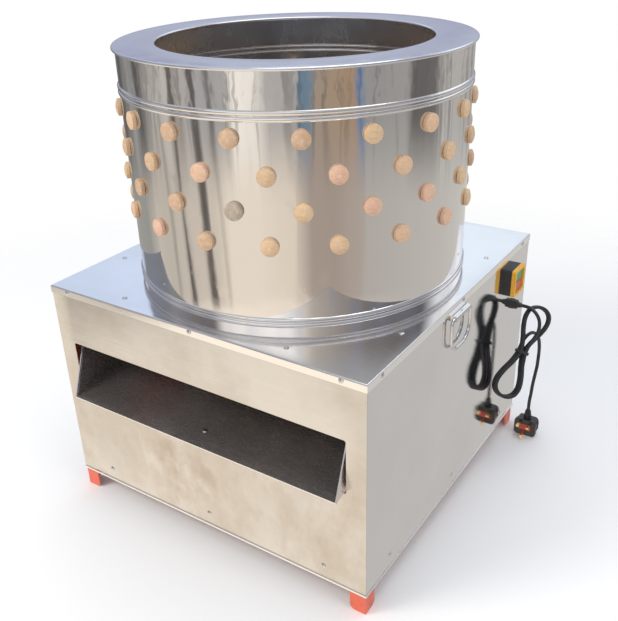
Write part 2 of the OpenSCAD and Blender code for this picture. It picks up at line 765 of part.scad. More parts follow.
// Motor, shaft down, on its plate
module at_plate_bolts() at_motor() for (x = [-1, 1], y = [-1, 1])
    translate([x * plate_bolt_x, y * motor_rail_off, motor_z]) children();
module at_motor_bolts() at_motor() for (a = [45 : 90 : 315]) rotate(a)
    translate([motor_bolt_ring, 0, lower_bearing_z]) children();
module motor_plate() color("dimgray") on_axis() difference() {
    at_motor() translate([0, 0, lower_bearing_z]) difference() {
        linear_extrude(plate_t) rounded(plate_w, plate_d, plate_corner);
        bolt_hole(spigot_r, 2 * plate_t);
    }
    at_plate_bolts() bolt_hole(plate_bolt_r, 2 * plate_t);
    at_motor_bolts() bolt_hole(plate_bolt_r, 2 * plate_t);
}
module motor_plate_bolts() color("gainsboro") on_axis() at_plate_bolts()
    bolt_and_nut(plate_bolt_r, plate_t + beam_t);
module motor_flange() color("steelblue") on_axis() difference() {
    at_motor() translate([0, 0, motor_z]) difference() {
        union() {
            cylinder(r = motor_flange_r, h = motor_flange_t);
            translate([0, 0, -plate_t]) cylinder(r = spigot_r, h = 2 * plate_t);
        }
        cylinder(r = motor_shaft_d / 2 + running, h = 4 * motor_flange_t, center = true);
    }
    at_motor_bolts() bolt_hole(plate_bolt_r, plate_t + motor_flange_t - motor_floor);
}
module motor_housing() color("steelblue") on_axis() at_motor() translate([0, 0, motor_body_z]) difference() {
    linear_extrude(motor_body_h) {
        circle(motor_core_r);
        for (i = [0 : motor_fins - 1]) rotate(i * 360 / motor_fins)
            translate([motor_core_r - fin_root, -fin_t / 2]) square([fin_deep + fin_root, fin_t]);
    }
    translate([0, 0, -over]) cylinder(r = motor_shaft_d / 2 + motor_bore_gap, h = motor_shaft_in + 2 * over);
}
module motor_fan_cover() color("slategray") on_axis() at_motor() difference() {
    translate([0, 0, motor_top - fan_cover_h]) rotate_extrude() {
        square([motor_d / 2, fan_cover_h - fan_round]);
        square([motor_d / 2 - fan_round, fan_cover_h]);
        translate([motor_d / 2 - fan_round, fan_cover_h - fan_round]) circle(fan_round);
    }
    translate([0, 0, motor_top - vent_deep]) for (i = [1 : fan_vents])
        ring(i * vent_pitch + vent_w, i * vent_pitch, vent_deep + over);
}
module motor_terminal_box() color("slategray") on_axis() at_motor()
    translate([motor_d / 2 + fit, 0, motor_body_z + motor_body_h / 2]) rotate([90, 0, 90])
        linear_extrude(box_d) rounded(box_w, box_h, box_corner);
module motor_bolts() color("gainsboro") on_axis() at_motor_bolts() mirror([0, 0, 1])
    bolt(plate_bolt_r, motor_bolt_len);

// V-belt and its two pulleys
function belt_ring(centre, r, a) = [for (p = belt_corners)
    [(r + p[0]) * cos(a), centre + (r + p[0]) * sin(a), p[1]]];
function belt_arc(centre, r, from, to, steps) = [for (i = [0 : steps])
    belt_ring(centre, r, from + (to - from) * i / steps)];
module drive_belt() color("black") on_axis() translate([0, 0, pulley_z])
    skin(concat(belt_arc(0, driven_r, 90 + belt_angle, 450 - belt_angle, driven_steps),
        belt_arc(drive_centres, motor_pulley_r, 90 - belt_angle, 90 + belt_angle, motor_steps)), true);
module pulley_groove(r) {
    low = r - belt_under - groove_over;
    rim = r + belt_over + groove_over + over;
    low_w = groove_low - groove_slope * groove_over;
    rim_w = low_w + groove_slope * (rim - low);
    polygon([[low, -low_w], [rim, -rim_w], [rim, rim_w], [low, low_w]]);
}
module driven_pulley() color("dimgray") on_axis() translate([0, 0, pulley_z]) difference() {
    rotate_extrude() difference() {
        union() {
            translate([shaft_d / 2 + fit, -pulley_w / 2]) square([pulley_boss, pulley_w]);
            translate([shaft_d / 2 + fit, -pulley_web / 2])
                square([driven_r - pulley_rim - shaft_d / 2, pulley_web]);
            translate([driven_r - pulley_rim, -pulley_w / 2])
                square([pulley_rim + belt_over + groove_over, pulley_w]);
        }
        pulley_groove(driven_r);
    }
    for (i = [0 : pulley_holes - 1]) rotate(i * 360 / pulley_holes) translate([pulley_hole_ring, 0, 0])
        cylinder(r = pulley_hole_r, h = pulley_w, center = true);
}
module motor_pulley() color("dimgray") on_axis() at_motor() translate([0, 0, pulley_z]) rotate_extrude()
    difference() {
        translate([motor_shaft_d / 2 + fit, -pulley_w / 2])
            square([motor_pulley_r + belt_over + groove_over - motor_shaft_d / 2 - fit, pulley_w]);
        pulley_groove(motor_pulley_r);
    }
module motor_shaft() color("lightgray") on_axis() at_motor() translate([0, 0, shaft_low])
    cylinder(d = motor_shaft_d, h = shaft_end - shaft_low);

// Turntable on the main shaft
module at_turntable_fingers() for (k = [0 : len(ring_fingers) - 1], i = [0 : ring_fingers[k] - 1])
    rotate(i * 360 / ring_fingers[k]) translate([ring_first + k * ring_step, 0, turn_z]) children();
module at_hub_bolts() for (a = [30 : 60 : 330]) rotate(a) translate([hub_bolt_ring, 0, turn_z]) children();
module turntable_plate() color("silver") on_axis() difference() {
    translate([0, 0, turn_z]) cylinder(r = turn_r, h = turn_t);
    translate([0, 0, turn_z - over]) cylinder(r = shaft_d / 2 + fit, h = turn_t + 2 * over);
    at_turntable_fingers() cylinder(d = hole_d, h = 4 * turn_t, center = true);
    at_hub_bolts() bolt_hole(plate_bolt_r, 2 * turn_t);
}
module turntable_fingers() color("tan") on_axis() at_turntable_fingers() finger(turn_t, turn_t + fit);
module turntable_hub() color("dimgray") on_axis() difference() {
    translate([0, 0, turn_z]) mirror([0, 0, 1]) rotate_extrude() {
        translate([shaft_d / 2 + fit, 0]) square([hub_r - shaft_d / 2 - fit, hub_h]);
        translate([shaft_d / 2 + fit, 0]) square([hub_flange_r - shaft_d / 2 - fit, hub_flange_t]);
        translate([skirt_r, 0]) square([skirt_t, skirt_h]);
    }
    at_hub_bolts() bolt_hole(plate_bolt_r, 2 * hub_flange_t);
}
module hub_bolts() color("gainsboro") on_axis() at_hub_bolts() translate([0, 0, turn_t])
    bolt_and_nut(plate_bolt_r, turn_t + hub_flange_t);
module main_shaft() color("lightgray") on_axis() translate([0, 0, shaft_low])
    cylinder(d = shaft_d, h = shaft_top - shaft_low);
module shaft_nut() color("gainsboro") on_axis() translate([0, 0, turn_z + turn_t]) difference() {
    hex(shaft_nut_r, shaft_nut_h);
    translate([0, 0, -over]) cylinder(r = shaft_d / 2 + fit, h = shaft_nut_h + 2 * over);
}

// Switch on the right panel
module button_block(y, grow) translate([0, y]) rounded(button_w + 2 * grow, button_h + 2 * grow,
    button_corner);
module switch_base() color("black") on_axis() on_right(switch_y, switch_z) difference() {
    union() {
        linear_extrude(switch_base_t) rounded(switch_w, switch_h, switch_r);
        translate([0, 0, -switch_rear]) linear_extrude(switch_rear + eps)
            square([switch_rear_w, switch_rear_h], center = true);
    }
    for (y = [-1, 1]) translate([0, 0, button_low - button_travel - clear])
        linear_extrude(switch_base_t) button_block(y * button_y, clear);
}
module switch_cover() color("orange") on_axis() on_right(switch_y, switch_z)
    translate([0, 0, switch_base_t]) linear_extrude(switch_cover_t) difference() {
        rounded(switch_w, switch_h, switch_r);
        rounded(window_w, window_h, switch_r - 1);
    }
module button(y) on_right(switch_y, switch_z) translate([0, 0, button_low])
    linear_extrude(button_top - button_low) button_block(y, 0);
module start_button() color("green") on_axis() button(button_y);
module stop_button() color("red") on_axis() button(-button_y);

// Drop handles: a bail of round rod in a sleeve bracket, one on each side
module at_right_handle() translate([handle_x, -handle_y, handle_z]) children();
module sleeve_bracket() at_right_handle() rotate([90, 0, 0]) linear_extrude(bracket_len, center = true)
    difference() {
        union() {
            circle(bracket_r);
            translate([half - handle_x, -bracket_r]) square([handle_x - half, 2 * bracket_r]);
        }
        circle(bail_rod_d / 2 + running);
    }
module bend(r, turn) rotate([0, 90, 0]) rotate(turn) rotate_extrude(angle = 90) translate([r, 0])
    circle(bail_rod_d / 2);
module rod(len) cylinder(d = bail_rod_d, h = len);
module bail() {
    w = bail_w / 2;
    rotate([90, 0, 0]) translate([0, 0, -w + bail_corner]) rod(bail_w - 2 * bail_corner);
    for (s = [0, 1]) mirror([0, s, 0]) {
        translate([0, w - bail_corner, -bail_corner]) bend(bail_corner, 90);
        translate([0, w, bail_low_corner - bail_drop]) rod(bail_drop - bail_corner - bail_low_corner);
        translate([0, w - bail_low_corner, bail_low_corner - bail_drop]) bend(bail_low_corner, 0);
    }
    translate([0, 0, -bail_drop]) rotate([90, 0, 0]) translate([0, 0, -w + bail_low_corner])
        rod(bail_w - 2 * bail_low_corner);
}
module handle_brackets() color("silver") on_axis() for (s = [0, 1]) mirror([s, 0, 0]) sleeve_bracket();
module handle_right() color("gray") on_axis() at_right_handle() bail();
module handle_left() color("gray") on_axis() mirror([1, 0, 0]) at_right_handle() bail();

// Cable gland: body and lock nut clamp the panel, the outer nut grips the cord
module gland_body() color("black") on_axis() on_right(gland_y, gland_z) {
    hex(gland_hex, gland_hex_t);
    translate([0, 0, -gland_inside]) cylinder(r = gland_r, h = gland_inside + eps);
    translate([0, 0, -sheet - fit - lock_nut_t]) difference() {
        hex(gland_hex, lock_nut_t);
        translate([0, 0, -over]) cylinder(r = gland_r + fit, h = lock_nut_t + 2 * over);
    }
}
module gland_nut() color("black") on_axis() on_right(gland_y, gland_z) translate([0, 0, gland_hex_t]) {
    hex(gland_nut_hex, gland_nut_t);
    cylinder(r1 = gland_nut_hex - gland_lip, r2 = cord_d / 2 + gland_lip, h = gland_nut_len);
}

// Mains cord: lead from the gland, tied hank, tail to the plug that stands on the floor
module tube(path, ref, sides) {
    last = len(path) - 1;
    turn = 360 / sides;
    along = [for (i = [0 : last]) unit(path[min(i + 1, last)] - path[max(i - 1, 0)])];
    skin([for (i = [0 : last]) let (u = unit(cross(along[i], ref)), v = cross(along[i], u))
        [for (k = [0 : sides - 1]) path[i] + cord_d / 2 * (u * cos(k * turn) + v * sin(k * turn))]], false);
}
module cord_lead() color("black") on_axis() tube(lead_path, [0, 1, 0], 8);
module cord_hank() color("black") on_axis() tube(hank_path, hank_face, 6);
module cord_tail() color("black") on_axis() tube(tail_path, [0.5, -0.7, 0], 8);
module cord_tie() color("dimgray") on_axis()
    multmatrix([for (i = [0 : 2]) [hank_right[i], hank_face[i], hank_up[i], hank_centre[i]]])
        linear_extrude(tie_h, center = true) {
            w = 2 * (hank_waist + tie_ease) + cord_d + 2 * clear;
            h = (hank_loops - 0.5) * hank_pitch + cord_d + 2 * clear;
            difference() {
                rounded(w + 2 * tie_t, h + 2 * tie_t, tie_corner + tie_t);
                rounded(w, h, tie_corner);
            }
        }
module at_plug() translate([half + plug_off, plug_y, 0]) children();
module plug_outline(inset) translate([0, plug_h / 2])
    rounded(plug_w - 2 * inset, plug_h - 2 * inset, plug_corner - inset / 2);
module plug_neck() {
    rib = plug_neck_h / (2 * neck_ribs);
    neck_end = cord_d / 2 + plug_neck_wall;
    cylinder(r1 = plug_neck_r, r2 = neck_end, h = plug_neck_h);
    for (i = [0 : neck_ribs - 1]) translate([0, 0, 2 * i * rib])
        cylinder(r = plug_neck_r + (neck_end - plug_neck_r) * i / neck_ribs + neck_rib_out, h = rib);
}
module plug_body() color("black") on_axis() at_plug() {
    translate([0, plug_base_t - plug_t / 2, 0]) rotate([90, 0, 0])
        linear_extrude(plug_base_t) plug_outline(fit);
    translate([0, plug_t / 2, 0]) rotate([90, 0, 0]) linear_extrude(plug_t - eps) plug_outline(plug_step);
    for (x = [-1, 1], i = [0 : plug_grips - 1])
        translate([x * (plug_w / 2 - plug_step), plug_t / 2 - plug_grip_w - i * plug_grip_pitch, plug_h / 2])
            cube([plug_step, plug_grip_w, plug_h / 2], center = true);
    translate([0, 0, plug_h - plug_step]) plug_neck();
}
module plug_pin(x, z, w, h, len) translate([x - w / 2, -plug_t / 2 - len, z - h / 2]) cube([w, len, h]);
module plug_pins() color("gold") on_axis() at_plug() {
    for (x = [-1, 1]) plug_pin(x * pin_apart / 2, pin_edge + pin_apart, pin_w, pin_t, pin_len);
    plug_pin(0, pin_edge, pin_t, earth_pin_w, earth_pin_len);
}
module plug_fuse_cover() color("firebrick") on_axis() at_plug()
    translate([0, -plug_t / 2, fuse_z]) rotate([90, 0, 0]) linear_extrude(fuse_t)
        rounded(fuse_w, fuse_h, fuse_corner);

frame_legs();
top_rails();
frame_rails();
bearing_beams();
motor_rails();
front_panel();
back_panel();
left_panel();
right_panel();
top_panel();
flange_screws();
deck_screws();
panel_screws();
feather_chute();
chute_screw();
splash_sleeve();
drum_shell();
drum_rim();
drum_bolts();
wall_fingers_row_1();
wall_fingers_row_2();
wall_fingers_row_3();
wall_fingers_row_4();
upper_bearing();
lower_bearing();
bearing_inserts();
bearing_bolts();
motor_plate();
motor_plate_bolts();
motor_flange();
motor_housing();
motor_fan_cover();
motor_terminal_box();
motor_bolts();
drive_belt();
switch_base();
switch_cover();
start_button();
stop_button();
handle_brackets();
handle_right();
handle_left();
gland_body();
gland_nut();
cord_lead();
cord_hank();
cord_tail();
cord_tie();
plug_body();
plug_pins();
plug_fuse_cover();
turntable_plate();
turntable_fingers();
turntable_hub();
hub_bolts();
main_shaft();
shaft_nut();
driven_pulley();
motor_shaft();
motor_pulley();
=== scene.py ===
# %% [markdown]
# # Drum poultry plucker
# A square cabinet of stainless sheet carries an open, mirror-polished drum lined with rubber fingers.
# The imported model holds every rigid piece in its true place, so this lesson starts from it. It adds
# the camera, the flexible mains cord, the panels' hems, a finish for every piece and a plain studio.

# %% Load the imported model
import math

import bmesh
import bpy
from mathutils import Matrix, Vector


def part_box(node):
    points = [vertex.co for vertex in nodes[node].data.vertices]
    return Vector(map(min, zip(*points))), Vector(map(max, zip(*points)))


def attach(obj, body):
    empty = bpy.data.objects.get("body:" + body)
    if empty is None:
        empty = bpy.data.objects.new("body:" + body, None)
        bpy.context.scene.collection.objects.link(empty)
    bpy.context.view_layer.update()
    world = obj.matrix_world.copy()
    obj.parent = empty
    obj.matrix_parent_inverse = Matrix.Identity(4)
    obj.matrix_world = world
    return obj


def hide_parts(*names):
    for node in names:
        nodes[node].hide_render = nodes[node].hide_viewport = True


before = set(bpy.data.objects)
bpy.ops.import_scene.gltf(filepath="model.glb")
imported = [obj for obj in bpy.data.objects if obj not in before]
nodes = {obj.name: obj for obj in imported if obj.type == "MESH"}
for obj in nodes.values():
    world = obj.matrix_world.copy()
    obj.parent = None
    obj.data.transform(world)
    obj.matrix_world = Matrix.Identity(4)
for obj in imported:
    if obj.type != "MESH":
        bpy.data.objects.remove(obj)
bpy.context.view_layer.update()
shaft_low, shaft_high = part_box("main_shaft")
axis_y = (shaft_low.y + shaft_high.y) / 2
print(len(nodes), "nodes, the drum axis at y =", round(axis_y, 4))

# %% [markdown]
# ## Camera
# The photograph was taken from the front right, a little above the drum. Its focal length, place and
# slight roll were found by fitting a pinhole camera to the cabinet's edges and the drum's rim. Setting
# the matrix from three axes keeps the roll, which a track-to constraint would lose.

# %% Camera at the photograph's place
PHOTO_H = 621
FOCAL_PX = 797
SENSOR = 36
ROLL = math.radians(-1.8)
eye = Vector((0.7991, -1.1494, 1.0571))
sight = Vector((-0.50091, 0.73678, -0.45414)).normalized()


def put_in_scene(name, data):
    made = bpy.data.objects.new(name, data)
    bpy.context.scene.collection.objects.link(made)
    return made


level_right = sight.cross(Vector((0, 0, 1))).normalized()
level_up = level_right.cross(sight)
right = level_right * math.cos(ROLL) + level_up * math.sin(ROLL)
up = level_up * math.cos(ROLL) - level_right * math.sin(ROLL)
camera_data = bpy.data.cameras.new("photo_camera")
camera_data.sensor_width = SENSOR
camera_data.lens = SENSOR * FOCAL_PX / PHOTO_H
camera = put_in_scene("photo_camera", camera_data)
camera.matrix_world = Matrix.Translation(eye) @ Matrix((right, up, -sight)).transposed().to_4x4()
bpy.context.scene.camera = camera
print("lens", round(camera_data.lens, 2), "mm")

# %% [markdown]
# ## Way of the mains cord
# The cord leaves a gland on the right side, is folded into a tied hank of three loops and falls from
# there to its plug on the floor. The lead and the tail hang freely, so a few points place each of them.
# The loops have a formula instead: their width swells from a narrow waist to a bulge at each end, and
# every turn lies one layer further out, so that no loop cuts into the next. The points and the formula
# are those of the solid model. The lists are in millimetres, the rest is in metres.

# %% Lead and tail
CORD_D = 0.007
PANEL_X = 0.330
GLAND_Y, GLAND_Z = 0.261, 0.326
MM_PER_M = 1000
gland_at = Vector((PANEL_X, axis_y + GLAND_Y, GLAND_Z))
gland_foot = Vector((PANEL_X, axis_y + GLAND_Y, 0))
lead = [(20, 0, 0), (27, 0, 0), (40, -3, 0), (52, -7, -5), (61, -11, -14), (65, -14, -26),
        (65, -17, -39), (61, -19, -51), (56, -23, -62)]
tail = [(37, -6, 260), (41, 11, 263), (44, 27, 257), (47, 40, 246), (49, 49, 232), (50, 54, 216),
        (50, 57, 199), (50, 57, 182), (50, 56, 166), (49, 53, 149), (48, 50, 133), (47, 48, 116),
        (47, 45, 100), (46, 43, 83), (46, 42, 66.5), (46, 42, 59.5)]
lead = [gland_at + Vector(point) / MM_PER_M for point in lead]
tail = [gland_foot + Vector(point) / MM_PER_M for point in tail]
print(len(lead), "points in the lead,", len(tail), "in the tail")

# %% Hank between them
LOOPS = 3
HALF_LOOP = 0.5
FIRST_TURN = 0.25
LOOP_POINTS = 24
LOOP_LEN = 0.194
WAIST_SLACK, LAYER_SLACK = 0.0007, 0.0009
WAIST = CORD_D / 2 + WAIST_SLACK
BULGE = 0.062
SOFT = 0.27
LAYER = CORD_D + LAYER_SLACK
hank_centre = gland_at + Vector((0.041, -0.032, -0.086))
hank_up = Vector((0.14, 0.57, 0.81)).normalized()
hank_right = hank_up.cross(Vector((0.6, -0.7, 0.4))).normalized()
hank_face = hank_right.cross(hank_up)


def eased(t):
    return 1 if t > 1 else t * t * (3 - 2 * t)


def hank_point(turns):
    angle = 2 * math.pi * turns
    layer = math.floor(turns) + eased(2 * (turns % 1)) - (LOOPS + HALF_LOOP) / 2
    swell = WAIST + BULGE * (math.hypot(math.cos(angle), SOFT) - SOFT)
    return (hank_centre + hank_up * math.cos(angle) * LOOP_LEN / 2 - hank_face * LAYER * layer
            + hank_right * math.sin(angle) * swell)


steps = int((LOOPS - HALF_LOOP) * LOOP_POINTS)
loops = [hank_point(FIRST_TURN + step / LOOP_POINTS) for step in range(steps + 1)]
entering, leaving = loops[0] + hank_up * CORD_D, loops[-1] + hank_up * CORD_D
route = lead + [entering + hank_up * CORD_D, entering]
route += loops + [leaving, leaving + hank_up * CORD_D] + tail
print(len(route), "points on the route")

# %% [markdown]
# ## Cord along its way
# A round rubber cord could be a swept mesh, but a curve with a round bevel is the natural way: one open
# spline keeps the length true, and handles laid along each chord round off the route's points. The bevel
# is one metre deep and each point's radius scales it down, because a curve's box grows by that radius.

# %% Mains cord
BEVEL_STEPS = 4
CURVE_STEPS = 4
cord_curve = bpy.data.curves.new("mains_cord", "CURVE")
cord_curve.dimensions = "3D"
cord_curve.bevel_depth = 1
cord_curve.bevel_resolution = BEVEL_STEPS
cord_curve.resolution_u = CURVE_STEPS
cord_curve.use_fill_caps = True
spline = cord_curve.splines.new("BEZIER")
spline.bezier_points.add(len(route) - 1)
for i, (knot, place) in enumerate(zip(spline.bezier_points, route)):
    before, after = route[max(i - 1, 0)], route[min(i + 1, len(route) - 1)]
    along = (after - before).normalized()
    knot.co = place
    knot.radius = CORD_D / 2
    knot.handle_left_type = knot.handle_right_type = "FREE"
    knot.handle_left = place - along * (place - before).length / 3
    knot.handle_right = place + along * (after - place).length / 3
cord = put_in_scene("mains_cord", cord_curve)
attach(cord, "cabinet")
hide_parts("cord_lead", "cord_hank", "cord_tail")

# %% [markdown]
# ## Hems of the panels
# The lower edge of each panel is folded over, which stiffens the sheet and leaves no sharp edge. From the
# front it shows as one thin bright line. A box without its top and bottom is a band round the cabinet, and
# a thickness and rounded outer edges make it the fold: thin trim that the solid model leaves out.

# %% Hems round the cabinet
HEM_H = 0.0045
HEM_T = 0.0012
HEM_ROUND = 0.0005
HEM_GAP = 0.0001
MOSTLY = 0.5
panel_low, panel_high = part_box("front_panel")
hem_half = panel_high.x + HEM_GAP + HEM_T
hem_mesh = bpy.data.meshes.new("panel_hems")
shape = bmesh.new()
bmesh.ops.create_cube(shape, size=1)
bmesh.ops.scale(shape, verts=shape.verts, vec=(2 * hem_half, 2 * hem_half, HEM_H))
bmesh.ops.translate(shape, verts=shape.verts, vec=(0, axis_y, panel_low.z + HEM_H / 2))
shape.normal_update()
lids = [face for face in shape.faces if abs(face.normal.z) > MOSTLY]
bmesh.ops.delete(shape, geom=lids, context="FACES_ONLY")
outer_edges = [edge for edge in shape.edges if abs(edge.verts[0].co.z - edge.verts[1].co.z) < HEM_GAP]
bmesh.ops.solidify(shape, geom=shape.faces[:], thickness=HEM_T)
bmesh.ops.bevel(shape, geom=outer_edges, offset=HEM_ROUND, segments=3, profile=0.5, affect="EDGES",
                material=-1)
bmesh.ops.recalc_face_normals(shape, faces=shape.faces[:])
shape.to_mesh(hem_mesh)
shape.free()
hems = put_in_scene("panel_hems", hem_mesh)
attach(hems, "cabinet")
hem_reach = max(corner.co.x for corner in hem_mesh.vertices)
print("hems", len(hem_mesh.polygons), "faces, to x =", round(hem_reach, 4))

# %% [markdown]
# ## Smooth shading of the solid pieces
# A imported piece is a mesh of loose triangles. Welding the points and splitting only the sharp edges
# lets curved walls shade smoothly while folds and rims stay crisp, with the mesh itself untouched.

# %% Weld and split each piece
SHARP = math.radians(32)
WELD = 0.00002


def soften(piece):
    piece.data.polygons.foreach_set("use_smooth", [True] * len(piece.data.polygons))
    weld = piece.modifiers.new("weld", "WELD")
    weld.merge_threshold = WELD
    split = piece.modifiers.new("crisp edges", "EDGE_SPLIT")
    split.split_angle = SHARP


for piece in nodes.values():
    soften(piece)
print("softened", len(nodes), "pieces")

# %% [markdown]
# ## Tools for node trees
# Finishes and the world around the machine are both trees of nodes, wired in the same few ways. Wiring
# holds those ways under short names, so that a finish reads like a recipe: noise, a spread from one
# range of values to another, sums, distances, and a mix of two colours by a mask between 0 and 1.

# %% Wiring


class Wiring:
    def __init__(self, tree):
        self.tree = tree

    def feed(self, socket, value):
        if isinstance(value, bpy.types.NodeSocket):
            self.tree.links.new(value, socket)
        else:
            socket.default_value = value

    def node(self, kind, inputs=None, **settings):
        made = self.tree.nodes.new(kind)
        for key, value in settings.items():
            setattr(made, key, value)
        for name, value in (inputs or {}).items():
            self.feed(made.inputs[name], value)
        return made

    def spread(self, value, low, high, to_low=0, to_high=1, **settings):
        ends = {"Value": value, "From Min": low, "From Max": high, "To Min": to_low, "To Max": to_high}
        return self.node("ShaderNodeMapRange", ends, **settings).outputs["Result"]

    def ease(self, value, low, high, to_low=0, to_high=1):
        return self.spread(value, low, high, to_low, to_high, interpolation_type="SMOOTHSTEP")

    def maths(self, operation, first, second=0.0):
        return self.node("ShaderNodeMath", {0: first, 1: second}, operation=operation).outputs[0]

    def axes(self, vector):
        return self.node("ShaderNodeSeparateXYZ", {"Vector": vector}).outputs

    def distance(self, vector, point=(0, 0, 0)):
        return self.node("ShaderNodeVectorMath", {0: vector, 1: point}, operation="DISTANCE").outputs["Value"]

    def mix(self, mask, first, second):
        blend = self.node("ShaderNodeMix", {"Factor": mask}, data_type="RGBA")
        for name, colour in (("A", first), ("B", second)):
            socket = next(i for i in blend.inputs if i.name == name and i.type == "RGBA")
            self.feed(socket, (*colour, 1) if isinstance(colour, tuple) else colour)
        return next(o for o in blend.outputs if o.type == "RGBA")


print("wiring is ready")

# %% [markdown]
# ## Tools for finishes
# Every finish is a small tree round one Principled shader. Noise on Object coordinates stays put on the
# piece from any side, and a stretched Mapping turns it into the grain of rolled sheet. The way a face
# points comes from its True Normal, which tells a floor from a wall without any painting by hand. A
# roughness that nodes feed isn't given at the start.

# %% Finish


class Finish(Wiring):
    def __init__(self, name, colour, roughness=0.5, metallic=0.0, **sockets):
        self.material = bpy.data.materials.new(name)
        self.material.use_nodes = True
        super().__init__(self.material.node_tree)
        self.shader = self.tree.nodes["Principled BSDF"]
        values = {"Base Color": (*colour, 1), "Roughness": roughness, "Metallic": metallic, **sockets}
        for socket, value in values.items():
            self.shader.inputs[socket].default_value = value
        self.place = self.node("ShaderNodeTexCoord").outputs["Object"]

    def noise(self, scale, detail=3.0, roughness=0.55, stretch=(1, 1, 1), shift=(0, 0, 0)):
        at = self.node("ShaderNodeMapping", {"Vector": self.place, "Scale": stretch, "Location": shift})
        return self.node("ShaderNodeTexNoise", {"Vector": at.outputs["Vector"], "Scale": scale,
                                                "Detail": detail, "Roughness": roughness}).outputs["Fac"]

    def facing(self):
        return self.axes(self.node("ShaderNodeNewGeometry").outputs["True Normal"])

    def colour(self, socket):
        self.feed(self.shader.inputs["Base Color"], socket)

    def colour_so_far(self):
        return self.shader.inputs["Base Color"].links[0].from_socket

    def rough(self, socket):
        self.feed(self.shader.inputs["Roughness"], socket)

    def bump(self, height, strength, distance):
        relief = self.node("ShaderNodeBump", {"Height": height, "Strength": strength, "Distance": distance})
        normal = self.shader.inputs["Normal"]
        if normal.is_linked:
            self.feed(relief.inputs["Normal"], normal.links[0].from_socket)
        self.feed(normal, relief.outputs["Normal"])

    def on(self, *names):
        for name in names:
            piece = nodes[name] if isinstance(name, str) else name
            piece.data.materials.clear()
            piece.data.materials.append(self.material)


print("tools for finishes are ready")

# %% [markdown]
# ## Polished drum
# The drum's sheet is polished like a mirror outside and dull inside, where it is wet and rubbed. The inside
# is also given a darker, bluer colour, which is painted shade in the drum's hollow. Both sides belong to one
# piece, so the distance from the axis tells them apart. Long, weak bumps make thin sheet look like sheet,
# since reflections in it waver. Above the top bead the band is dented more.

# %% Drum shell
WALL_MIDDLE, WALL_BLUR = 0.29925, 0.0002
TOP_BEAD_Z, BEAD_BLUR = 0.795, 0.004
DENTS_BELOW = 0.14
OUTSIDE, SHADED_INSIDE = (0.79, 0.77, 0.75), (0.60, 0.63, 0.65)
drum_steel = Finish("polished_drum_steel", OUTSIDE, metallic=1)
flat = drum_steel.node("ShaderNodeMapping", {"Vector": drum_steel.place, "Location": (0, -axis_y, 0),
                                             "Scale": (1, 1, 0)}).outputs["Vector"]
outer = drum_steel.spread(drum_steel.distance(flat), WALL_MIDDLE - WALL_BLUR, WALL_MIDDLE + WALL_BLUR)
# The inner face gets a darker, bluer colour than the outer one: painted shade inside the drum.
drum_steel.colour(drum_steel.mix(outer, SHADED_INSIDE, OUTSIDE))
smears = drum_steel.noise(30, 5, 0.6, stretch=(1, 1, 0.5))
scuffs = drum_steel.noise(22, 8, 0.72, stretch=(1, 1, 0.6), shift=(3, 1, 2))
polish = drum_steel.maths("ADD", drum_steel.spread(smears, 0.4, 0.75, 0.03, 0.1),
                          drum_steel.spread(scuffs, 0.58, 0.74, 0, 0.2))
dull = drum_steel.spread(smears, 0.3, 0.8, 0.2, 0.34)
by_side = drum_steel.node("ShaderNodeMix", {"Factor": outer, "A": dull, "B": polish})
drum_steel.rough(by_side.outputs["Result"])
drum_steel.bump(drum_steel.noise(7, 2, 0.5, stretch=(1, 1, 0.25)), 0.12, 0.004)
above_bead = drum_steel.spread(drum_steel.axes(drum_steel.place)["Z"], TOP_BEAD_Z - BEAD_BLUR,
                               TOP_BEAD_Z + BEAD_BLUR, DENTS_BELOW, 1)
dents = drum_steel.noise(15, 3, 0.5, stretch=(1, 1, 0.6), shift=(1, 4, 2))
dents = drum_steel.maths("MULTIPLY", drum_steel.spread(dents, 0, 1, -0.5, 0.5), above_bead)
drum_steel.bump(dents, 0.45, 0.004)
drum_steel.on("drum_shell")
print("drum finish", drum_steel.material.name)

# %% [markdown]
# ## Bare metal
# The rolled rim, the zinc fasteners, the chromed drop handles and the brass pins are all bare metal: one
# colour that tints the reflection, and a gloss that fine noise breaks up as handling does. One function
# makes them all. The shafts are even in gloss and show fine turning marks instead.

# %% Rim, fasteners, rod, pins and shafts
def bare_metal(name, colour, grain, wear):
    metal = Finish(name, colour, metallic=1)
    metal.rough(metal.spread(metal.noise(*grain), *wear))
    return metal


rim_steel = bare_metal("polished_rim_steel", (0.76, 0.76, 0.78), (40, 5), (0.35, 0.75, 0.1, 0.22))
rim_steel.bump(rim_steel.noise(9, 2), 0.1, 0.003)
rim_steel.on("drum_rim")
screw_steel = bare_metal("bright_screw_steel", (0.70, 0.70, 0.69), (300, 2), (0.3, 0.7, 0.15, 0.35))
screw_steel.on("flange_screws", "deck_screws", "panel_screws", "chute_screw", "drum_bolts", "bearing_bolts",
               "motor_plate_bolts", "motor_bolts", "hub_bolts", "shaft_nut")
rod_steel = bare_metal("chromed_rod", (0.72, 0.72, 0.72), (150, 3), (0.35, 0.7, 0.06, 0.2))
rod_steel.on("handle_right", "handle_left", "handle_brackets")
pin_brass = bare_metal("pin_brass", (0.78, 0.57, 0.25), (250, 3), (0.35, 0.7, 0.2, 0.4))
pin_brass.on("plug_pins")
turned_steel = Finish("turned_shaft_steel", (0.60, 0.60, 0.60), 0.25, metallic=1)
turned_steel.bump(turned_steel.noise(500, 2, 0.5, stretch=(0.05, 0.05, 1)), 0.1, 0.0004)
turned_steel.on("main_shaft", "motor_shaft", "bearing_inserts")
print("rim, fasteners, rod, pins and shafts done")

# %% [markdown]
# ## Satin sheet
# The panels are satin with a faint rolling grain and water stains, and the deck is nearly a mirror. The
# grain is noise drawn out along the sheet: it breaks up the gloss and adds a hint of relief. The deck's
# turned-down flange catches more light, so faces that aren't level get a brighter colour.

# %% Side panels, deck and hems
FLANGE = (0.93, 0.92, 0.90)


